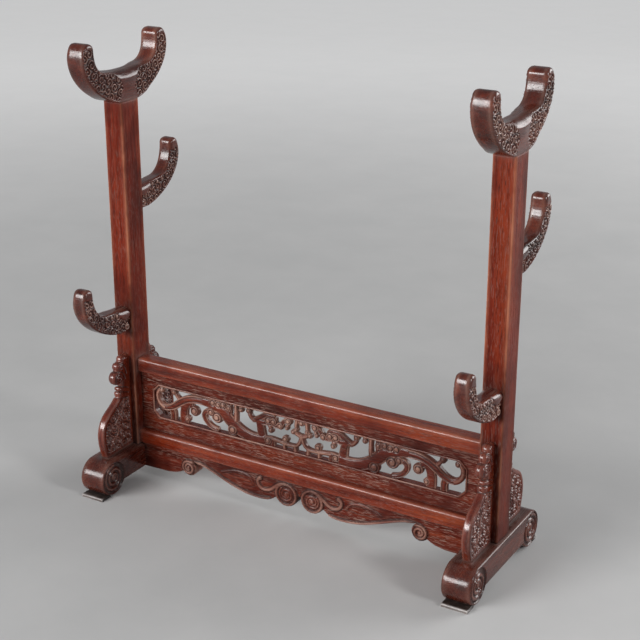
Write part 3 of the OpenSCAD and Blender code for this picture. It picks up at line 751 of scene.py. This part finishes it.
def spandrel(name, x, y, turn, seed):
    """Standing bracket: curls in a sunk ground below, lobes with cut lines above."""
    rng = np.random.default_rng(seed)
    belly = cubic([(39, 0), (41.5, 7), (43.5, 13), (43.5, 21), (43.5, 31), (38.5, 39.5), (31, 43.8),
                   (25.5, 46.8), (20, 50), (16.5, 54)])
    head = cubic([(18, 80), (16, 84), (13, 88), (9, 91), (6, 93.5), (2, 95), (0, 94)])
    ring = np.vstack([[(-2.5, 0)], belly, [(12, 64.5), (12, 70)], head, [(-2.5, 94)]])
    g = Grid(-2.5, 0, 43.5, SPANDREL_H, BRACKET_PITCH)
    d = g.outline(ring)
    dome = g.blank()
    for u, v, r in ((13.6, 57, 3.2), (13.4, 62, 2.6), (16.4, 74.5, 7), (12.8, 84.6, 4.8), (6.4, 89.8, 4.6)):
        q = np.hypot(g.U - u, g.V - v)
        d = np.minimum(d, q - r)
        dome = np.maximum(dome, 0.12 * r * np.sqrt(np.clip(1 - (q / r) ** 2, 0, 1)))
    frame_line = np.maximum(d + 3.6, np.maximum(2.4 - g.U, np.maximum(2.8 - g.V, g.V - 52)))
    ground = 1 - ease(frame_line, -0.6, 0.4)
    lift = 1.4 * curls(g, np.where(frame_line < 0.6, 1, 0), spacing=8.0, pitch=2.9, rng=rng)
    stem = smooth_line([(34, 4), (30, 13), (21, 20), (23, 31), (15, 38), (10, 50)])
    g.ridge(lift, stem, width=1.6, height=1.7, taper=0.4)
    relief = ground * (np.minimum(lift, 1.7) - 1.5)
    marks = g.blank()
    for v in (53.8, 60.0, 65.2):
        g.groove(marks, np.array([(3.0, v - 4.5), (12.0, v - 1.0), (20.0, v + 0.6)]), 1.0, 0.8)
    g.groove(marks, spiral((16.2, 74.5), 4.9, 1.0, -0.6, 1.6), 0.9, 0.8)
    g.groove(marks, smooth_line([(19.5, 81.0), (14, 80.2), (9.5, 77), (6.5, 71)]), 0.9, 0.9)
    g.groove(marks, smooth_line([(14.0, 88.6), (9.5, 86.4), (6.2, 82), (4.6, 76)]), 0.9, 0.9)
    g.groove(marks, spiral((12.4, 84.2), 2.9, 0.8, -0.4, 1.2), 0.8, 0.6)
    height = SPANDREL_T / 2 + relief + marks + dome
    radius = 1.4 + 1.9 * ease(g.V, 50, 58)
    radius = np.minimum(radius, 0.5 + 0.4 * g.V)
    # Painted shade in the sunk ground and the cut lines, and painted highlight with wear on the curls'
    # crests
    cavity = np.maximum(ground * np.clip(1 - lift / 0.9, 0, 1), np.clip(-marks / 0.8, 0, 1) * 0.8)
    crest = 0.9 * ground * ease(lift, 0.8, 1.4)
    place = side_place(x, y, FOOT_TOP, turn)
    shape = slab(g, d, height, radius, cavity, place, rows=4, crest=crest, rim_wear=0.6)
    piece(name + "_carved", shape, CARVED_Z, "carved_wood", name)


for side, sx in SIDES:
    spandrel(f"{side}_front_spandrel", sx * POST_X, -FACE_Y, -1, 131 + sx)
    spandrel(f"{side}_back_spandrel", sx * POST_X, FACE_Y, 1, 141 + sx)


# Panel: plain border, bead and openwork

def opening_ring(grow):
    """Corners of the opening, moved outwards by some distance."""
    w, z0, z1 = OPEN_W / 2 + grow, OPEN_Z - grow, OPEN_Z + OPEN_H + grow
    c = OPEN_CUT + grow * (2 - math.sqrt(2))
    return np.array([(w, z0 + c), (w, z1 - c), (w - c, z1), (c - w, z1), (-w, z1 - c), (-w, z0 + c),
                     (c - w, z0), (w - c, z0)])


def border():
    """Plain board round the opening, with painted shade along its rails, its ends and its bead."""
    g = Grid(-INNER_X - LAP, PANEL_LOW - LAP, INNER_X + LAP, UPPER_Z + LAP, BORDER_PITCH)
    d = np.abs(g.V - (PANEL_LOW + UPPER_Z) / 2) - (UPPER_Z - PANEL_LOW) / 2 - LAP
    d = np.maximum(np.abs(g.U) - INNER_X - LAP, d)
    hole = g.outline(opening_ring(1.0))
    d = np.maximum(d, -hole)
    rng = np.random.default_rng(51)
    wave = sum(np.sin(rng.uniform(0.02, 0.09) * g.U + rng.uniform(0.05, 0.2) * g.V + rng.uniform(0, 6))
               for _ in range(6))
    height = PANEL_T / 2 + 0.02 * wave
    # Painted shade: darker next to the bead, the rails and the posts
    near_bead = np.exp(-np.clip(hole - 0.8, 0, None) / 0.9)
    top = np.exp(-np.clip(UPPER_Z - g.V, 0, None) / 1.6)
    low = np.exp(-np.clip(g.V - PANEL_LOW, 0, None) / 1.6)
    ends = np.exp(-np.clip(INNER_X - np.abs(g.U), 0, None) / 1.6)
    cavity = np.maximum.reduce([0.7 * near_bead, 0.8 * top, 0.7 * low, 0.6 * ends])
    shape = slab(g, d, height, g.blank(0.3), cavity, front_place(), rows=2, rim_wear=0.0)
    piece("panel_border", shape, BOARD, "carved_wood", "openwork_panel")


def bead():
    """Raised bead round the opening on both faces of the panel."""
    t = PANEL_T / 2
    turn = np.linspace(0.0, math.pi, 9)
    arc = [(0.9 - 0.95 * math.cos(a), t + 0.85 * math.sin(a)) for a in turn]
    inner = [(-0.05, t * (1 - 2 * s)) for s in (0.8, 0.6, 0.4, 0.2)]
    section = arc + [(n, -w) for n, w in reversed(arc)] + inner
    # The bead's crown is painted pale, as painted highlight and wear
    wear = np.concatenate([np.sin(turn), np.sin(turn), np.zeros(len(inner))])
    rings = [opening_ring(n) for n, _ in section]
    parts = [max(2, int(np.hypot(*(b - a)) / 2.0)) for a, b in zip(rings[0], np.roll(rings[0], -1, 0))]
    points = []
    for ring, (_, w) in zip(rings, section):
        for a, b, count in zip(ring, np.roll(ring, -1, 0), parts):
            for s in range(count):
                points.append((a[0] + (b[0] - a[0]) * s / count, -w, a[1] + (b[1] - a[1]) * s / count))
    n, m = sum(parts), len(section)
    faces = []
    for k in range(m):
        for i in range(n):
            a, b = k * n + i, k * n + (i + 1) % n
            c, d = ((k + 1) % m) * n + (i + 1) % n, ((k + 1) % m) * n + i
            faces.append([a, b, c, d])
    shape = np.array(points), faces, np.zeros(len(points)), np.repeat(0.5 * wear, n)
    piece("panel_bead", shape, CARVED_X, "carved_wood", "openwork_panel")


# Half of the openwork, from the middle to the right, as stems and bosses in an opening DRAWN_H high.
# A stem is the four points of a cubic curve and its width at both ends, a boss is its centre and radius.
# The first BODY stems are the dragon's body, and the BROAD ones have their lines close to the rim.
DRAWN_H = 32.2
BODY, BROAD = 5, (0, 1, 5, 14)
DRAGON = [
    ((41, 4), (56, 0.5), (69, 5), (80.5, 16.5), 9.5, 13),
    ((80.5, 16.5), (88, 23.5), (97, 27.5), (110, 27), 13, 8.5),
    ((110, 27), (119, 27.5), (127, 25.5), (135, 20), 8.5, 8),
    ((135, 20), (141, 15.5), (146, 11), (153, 11.2), 8, 6),
    ((153, 11.2), (162, 13), (164.5, 25), (157.5, 29), 6, 4),
    ((124, 22), (131, 19), (132.5, 12), (131, -1), 8, 9.5),
    ((146, 11), (143, 8), (143.5, 4), (144, -1), 7, 6.5),
    ((97, 17.5), (103, 20), (110.5, 16.5), (106.5, 9.5), 5.5, 5.5),
    ((106.5, 9.5), (104, 5.5), (101, 2.5), (93.5, 1.6), 5.5, 4.5),
    ((120, 17), (122.5, 19), (124, 20.5), (127, 22), 5, 6),
    ((65.5, 27.5), (65.5, 29.5), (65.5, 31), (65.5, 33), 4, 4),
    ((71.8, 16), (71, 22), (71.5, 28), (71.8, 33), 5, 4),
    ((79, 18), (78.5, 24), (78.5, 29), (79, 33), 5, 5),
    ((134, 21.5), (137.5, 23.5), (139.5, 26), (142, 29.4), 4.5, 3.5),
]
CLOUD = [
    ((43, 1), (43, 8), (44, 14), (45.5, 21), 10, 8),
    ((51.5, 21.5), (44, 24), (41, 30.5), (34, 29.8), 5.5, 5),
    ((34, 29.8), (30, 30.3), (27.5, 27.5), (29.5, 24), 5, 5),
    ((45, 22), (41, 21), (38, 22.5), (34, 23.5), 7, 7),
    ((50, 21.5), (54, 21.5), (57, 24.5), (56.8, 30), 5, 4),
    ((36, 22), (34, 19.5), (33, 17.5), (33, 15.2), 5.5, 4),
    ((30, 22), (26, 20.5), (22.5, 21.5), (20, 26), 6, 4.5),
    ((20, 26), (18.5, 28), (16.5, 28.5), (14, 28.6), 4.5, 5),
    ((14, 28), (14.3, 25.5), (15, 23.5), (15.8, 21.5), 4.5, 3),
    ((5, 33), (5.4, 29), (6.2, 26.5), (5.6, 22.5), 4.8, 3.6),
    ((0, 15.5), (2.5, 17.2), (5.5, 18), (8.5, 19.3), 4.5, 4),
    ((0, 17), (1.5, 11.5), (2.5, 6), (9, 5), 4.2, 3.8),
    ((9, 5), (14, 4.2), (22, 6), (31, 6.5), 3.8, 4.5),
    ((31, 6.5), (35, 6.5), (38, 5), (42, 4), 4.5, 6),
    ((7, 5), (6.8, 3), (6.6, 1), (6.5, -1), 4.2, 5),
    ((18.5, 5), (18.5, 3), (18.5, 1), (18.5, -1), 3.6, 4),
    ((31, 6), (31, 3.5), (31, 1), (31, -1), 4.5, 5),
    ((17.3, 9.5), (17.2, 8), (17, 6.5), (17, 5), 4.5, 4),
]
BOSSES = [
    (118.5, 14.7, 5.2),
    (93, 14.3, 6.2),
    (99.5, 18, 4.2),
    (85.5, 28.6, 4),
    (97, 28.4, 4.6),
    (91, 27.5, 4),
    (75, 5.5, 6),
    (65.5, 28.2, 2.7),
    (79, 27, 3.4),
    (156.3, 28.2, 3),
    (142, 29.2, 3.3),
    (127, 4.6, 3.3),
    (57, 29.5, 3.2),
    (35.5, 24.3, 4.6),
    (29.8, 24.5, 4),
    (33, 15.2, 2.9),
    (22.6, 22, 3.6),
    (14, 28.6, 3.9),
    (15.8, 21.3, 2.2),
    (8.8, 19.3, 2.6),
    (5.6, 22.2, 2.4),
    (0, 30, 3.2),
    (17.3, 10, 3.7),
    (36, 4, 4.3),
]


def openwork():
    """Pierced dragons and clouds: rounded stems that pass over each other, with cut lines and curls.

    Returns the grid of both halves with the distance, the height, the painted shade, and the painted
    highlight and wear on it.
    """
    g = Grid(0, OPEN_Z - 1, OPEN_W / 2 + 1, OPEN_Z + OPEN_H + 1, OPENWORK_PITCH)
    tall = OPEN_H / DRAWN_H
    d = g.blank(50.0)
    height = g.blank(0.0)
    groove = g.blank(0.0)
    shine = g.blank(0.0)

    def lay(line, w0, w1, level, lines=True, broad=False):
        nonlocal d, height, groove, shine
        w = g.window(line, max(w0, w1) / 2 + 3)
        q, t = near(g.U[w], g.V[w], line)
        half = (w0 + (w1 - w0) * t) / 2
        d[w] = np.minimum(d[w], q - half)
        s = np.clip(q / half, 0, 1.2)
        body = level * np.sqrt(np.clip(1 - (0.6 if broad else 0.5) * s * s, 0.05, 1))
        rim = np.exp(-((s - 0.80) / 0.13) ** 2) * 0.45 - np.exp(-((s - 0.52) / 0.14) ** 2) * 0.75
        lip = np.exp(-((s - 0.90) / 0.07) ** 2) * 0.3 - np.exp(-((s - 0.76) / 0.07) ** 2) * 0.55
        cut = -lip if broad else -rim if lines else 0 * s
        body = np.where(s <= 1.05, body, 0)
        m = body > height[w]
        height[w] = np.where(m, body, height[w])
        groove[w] = np.where(m, cut, groove[w])
        at, spread = (0.9, 0.08) if broad else (0.8, 0.14) if lines else (0.0, 0.4)
        shine[w] = np.where(m, np.exp(-((s - at) / spread) ** 2), shine[w])

    for k, (a, b, c, e, w0, w1) in enumerate(DRAGON + CLOUD):
        line = cubic([a, b, c, e], 18) * (1, tall) + (0, OPEN_Z)
        level = 3.0 if k < BODY else 2.5
        lay(line, w0, w1, level, min(w0, w1) > 4.4, k in BROAD)
        if abs(a[0]) < 0.01:
            lay(line * (-1, 1), w0, w1, level, min(w0, w1) > 4.4)
    for k, (x, z, r) in enumerate(BOSSES):
        z = OPEN_Z + z * tall
        q = np.hypot(g.U - x, g.V - z)
        d = np.minimum(d, q - r)
        a = np.arctan2(g.V - z, g.U - x)
        turn = 1 if k % 2 else -1
        phase = q / (r * 0.42) - turn * a / (2 * math.pi)
        dome = 3.25 * np.sqrt(np.clip(1 - 0.5 * (q / r) ** 2, 0.1, 1)) * (q <= r * 1.02)
        cut = (0.5 - 0.5 * np.cos(2 * math.pi * phase)) * 0.75 * ease(q, 0.2 * r, 0.5 * r)
        m = dome > height - 0.35
        height = np.where(m & (q <= r), dome, height)
        groove = np.where(m & (q <= r), cut, groove)
        shine = np.where(m & (q <= r), ease(0.75 - cut, 0.3, 0.75), shine)
    # Painted shade in the cut lines and on the lower stems; shine is painted highlight and wear along the
    # rims
    shade = np.clip(np.clip(groove, 0, 1) * 1.4 + np.clip((2.2 - height) / 1.2, 0, 1) * 0.6, 0, 1)
    shade *= ease(-d, 0.0, 0.8)
    d = np.maximum(d, g.outline(opening_ring(0.7)))
    height = np.maximum(height, 1.0) - groove
    mirrored = Grid(-OPEN_W / 2 - 1, OPEN_Z - 1, OPEN_W / 2 + 1, OPEN_Z + OPEN_H + 1, OPENWORK_PITCH)
    half = g.u[g.u > 1e-6]
    mirrored.u, mirrored.v = np.concatenate([-half[::-1], half]), g.v
    mirrored.U, mirrored.V = np.meshgrid(mirrored.u, g.v, indexing="ij")
    pick = np.searchsorted(g.u, np.abs(mirrored.u) - 1e-9)
    return mirrored, [x[pick] for x in (d, height, shade, shine)]


def openwork_piece():
    """Openwork made into a piece."""
    g, (d, height, shade, shine) = openwork()
    shape = slab(g, d, height, g.blank(0.5), shade, front_place(), rows=2, crest=shine, rim_wear=0.5)
    piece("panel_openwork", shape, CARVED_X, "carved_wood", "openwork_panel")


border()
bead()
openwork_piece()


# Apron with its scrolls

# Centres of the right twin scroll and the right volute, and the cut lines of the right leaf
TWIN, VOLUTE = (14, 22), (124.2, 21.5)
VEINS = [
    [(48, 21), (58, 18.5), (70, 18.5), (84, 22)],
    [(53, 24), (62, 22.5), (74, 23), (90, 26.5)],
    [(57, 27.2), (64, 26.2), (74, 26.6), (84, 27.2)],
    [(44, 17), (54, 14.8), (66, 14.5), (78, 17)],
    [(88, 24), (98, 27.5), (108, 31)],
    [(96, 30), (106, 32.6), (116, 34)],
]


def apron():
    """Scrolled skirt with a raised edge line, volutes, twin scrolls, tendrils and leaf lines."""
    g = Grid(-APRON_WIDE - LAP, APRON_LOW, APRON_WIDE + LAP, LOWER_Z + LAP, APRON_PITCH)
    sweep = cubic([(28, -22), (31, -25), (37, -26.5), (45, -26.5), (75, -26.5), (92, -11.5), (120, -7)])
    end = cubic([(126, -15), (132, -23.5), (142, -26), (155, -26.2)])
    butt = [(APRON_WIDE + LAP, -26.5), (APRON_WIDE + LAP, LAP)]
    half = np.vstack([[(0, -14), (15, -14)], sweep, end, butt])
    half = half + (0, LOWER_Z)
    ring = np.vstack([half, half[::-1] * (-1, 1)])
    d = g.outline(ring)
    lift = g.blank()
    cut = g.blank()
    scrolls = g.blank()
    for s in (-1, 1):
        for x, z, r in ((*TWIN, 12), (*VOLUTE, 8.5)):
            q = np.hypot(g.U - s * x, g.V - z)
            d = np.minimum(d, q - r)
            scrolls = np.maximum(scrolls, 1 - ease(q, r - 0.2, r + 1.4))
        flip = (s, 1)
        edge = sweep[6:] + (0, LOWER_Z) + np.array([(-0.3, 1.5)])
        volute = spiral(VOLUTE, 7.2, 2.4, math.pi * 0.62, -1.6)
        g.ridge(lift, np.vstack([edge[:-2], volute]) * flip, 1.3, 1.5)
        ball = np.hypot(g.U - s * VOLUTE[0], g.V - VOLUTE[1])
        lift = np.maximum(lift, 1.3 * np.sqrt(np.clip(1 - (ball / 1.9) ** 2, 0, 1)))
        g.ridge(lift, spiral(TWIN, 10.8, 10.4, -0.35, 1.31) * flip, 1.3, 1.3)
        g.ridge(lift, spiral(TWIN, 7.4, 2.4, 0.8, -1.8) * flip, 1.1, 0.9)
        heart = np.hypot(g.U - s * TWIN[0], g.V - TWIN[1])
        lift = np.maximum(lift, 1.2 * np.sqrt(np.clip(1 - (heart / 2.4) ** 2, 0, 1)))
        tendril = smooth_line([(14, 32.8), (20, 31.6), (25.5, 27.5), (30, 23.6), (35, 21.2),
                               (40, 21.4), (44, 24.6), (45, 29), (42.8, 32.2)])
        g.ridge(lift, tendril * flip, 1.7, 1.5)
        knob = np.hypot(g.U - s * 42.4, g.V - 32.0)
        lift = np.maximum(lift, 1.7 * np.sqrt(np.clip(1 - (knob / 2.3) ** 2, 0, 1)))
        leaf = smooth_line([(50, 24), (54, 29.5), (63, 32), (74, 31), (86, 26.8)])
        g.ridge(lift, leaf * flip, 1.0, 0.8, 0.4)
        for vein in VEINS:
            g.groove(cut, smooth_line(vein) * flip, 0.8, 0.3)
    centre = np.exp(-np.clip(np.abs(g.V - TWIN[1]) - 6, 0, None) / 3) * np.exp(-(g.U / 2.2) ** 2)
    height = APRON_T / 2 + 0.3 * scrolls + lift + cut * (lift < 0.05) - 0.8 * centre
    blur = np.maximum(lift, 0)
    for _ in range(3):
        shifted = [np.roll(blur, k, a) for k in (-1, 1) for a in (0, 1)]
        blur = np.maximum(blur, 0.82 * np.maximum.reduce(shifted))
    shade = np.clip((blur - lift) / 0.8, 0, 1) * 0.95
    shade = np.maximum(shade, np.clip(-cut / 0.5, 0, 1) * 0.7 * (lift < 0.05))
    shade = np.maximum(shade, 0.8 * np.exp(-np.clip(LOWER_Z - g.V, 0, None) / 1.8))
    shade = np.maximum(shade, 0.6 * np.exp(-np.clip(APRON_WIDE - np.abs(g.U), 0, None) / 2.0))
    # The raised lines' crests painted pale, as painted highlight and wear
    crest = ease(lift, 0.6, 1.2)
    shape = slab(g, d, height, g.blank(1.2), shade, front_place(), rows=4, crest=crest, rim_wear=0.7)
    piece("carved_apron", shape, BOARD, "plain_wood", "apron")


apron()


# Floor, light and camera

# Half width of the floor and the distances over which it pales, in metres, and how much it does
FLOOR_HALF = 14.0
PALE_FROM, PALE_TO, PALE = 0.4, 2.4, 0.46
# Light of the studio round the object, and what is added where the background itself is seen
SKY, AMBIENT, SEEN = (0.92, 0.94, 0.97, 1), 0.17, 0.22


def floor():
    """Pale floor that grows lighter away from the object."""
    mesh = bpy.data.meshes.new("floor")
    corners = [(FLOOR_HALF * x, FLOOR_HALF * y, 0) for x, y in ((-1, -1), (1, -1), (1, 1), (-1, 1))]
    mesh.from_pydata(corners, [], [[0, 1, 2, 3]])
    obj = bpy.data.objects.new("floor", mesh)
    SCENE.collection.objects.link(obj)
    net = Net("pale_floor")
    speck = net.add("TexNoise", Vector=net.add("TexCoord", out=3), Scale=9.0, Detail=4.0, Roughness=0.6)
    colour = net.ramp(speck, (0.3, (0.47, 0.47, 0.467)), (0.7, (0.51, 0.507, 0.503)))
    net.put(net.shader.inputs["Base Color"], colour)
    net.shader.inputs["Roughness"].default_value = 0.75
    reach = net.add("VectorMath", net.add("TexCoord", out=3), operation="LENGTH", out=1)
    path = net.add("LightPath").node.outputs
    seen = net.math("MAXIMUM", path["Is Glossy Ray"], path["Is Transmission Ray"])
    seen = net.math("MAXIMUM", path["Is Camera Ray"], seen)
    pale = net.math("MULTIPLY", net.remap(reach, PALE_FROM, PALE_TO, 0.0, PALE), seen)
    net.put(net.shader.inputs["Emission Strength"], pale)
    net.shader.inputs["Emission Color"].default_value = (1.0, 1.0, 1.0, 1)
    mesh.materials.append(net.material)


def lamp(name, place, aim, width, height, spread, power):
    """Soft rectangular lamp, in metres. Its spread is in degrees and its power in watts."""
    data = bpy.data.lights.new(name, "AREA")
    data.shape, data.size, data.size_y, data.energy = "RECTANGLE", width, height, power
    data.spread = math.radians(spread)
    obj = bpy.data.objects.new(name, data)
    obj.location = place
    obj.rotation_euler = (Vector(aim) - Vector(place)).to_track_quat("-Z", "Y").to_euler()
    obj.visible_camera = False
    SCENE.collection.objects.link(obj)


floor()
lamp("key", (-1.30, -2.50, 1.05), (0.05, 0, 0.25), 1.8, 1.0, 80, 23)
lamp("side", (1.70, -0.25, 0.90), (0.1, 0, 0.2), 0.36, 0.5, 110, 4.5)
lamp("rear", (1.80, 2.30, 1.20), (0, 0, 0.2), 2.0, 1.5, 80, 15)
lamp("top", (0.1, 0.3, 3.0), (0, 0, 0.2), 1.2, 1.2, 180, 2.5)


def studio():
    """World that lights the object evenly and is paler where it is seen itself."""
    world = bpy.data.worlds.new("studio")
    SCENE.world = world
    world.use_nodes = True
    nodes, links = world.node_tree.nodes, world.node_tree.links
    back = nodes["Background"].inputs
    back["Color"].default_value = SKY
    path = nodes.new("ShaderNodeLightPath").outputs
    seen = path["Is Camera Ray"]
    for ray in ("Is Glossy Ray", "Is Transmission Ray"):
        either = nodes.new("ShaderNodeMath")
        either.operation = "MAXIMUM"
        links.new(seen, either.inputs[0])
        links.new(path[ray], either.inputs[1])
        seen = either.outputs[0]
    level = nodes.new("ShaderNodeMath")
    level.operation = "MULTIPLY_ADD"
    links.new(seen, level.inputs[0])
    level.inputs[1].default_value, level.inputs[2].default_value = SEEN, AMBIENT
    links.new(level.outputs[0], back["Strength"])


studio()

# Camera fitted to the photograph
camera = bpy.data.cameras.new("camera")
camera.sensor_width = 36.0
camera.lens = 79.54
view = bpy.data.objects.new("camera", camera)
view.location = (0.6054, -0.9950, 0.6406)
view.rotation_euler = (math.pi / 2 - 0.365, 0, 0.533)
SCENE.collection.objects.link(view)
SCENE.camera = view
SCENE.view_settings.view_transform = "Standard"
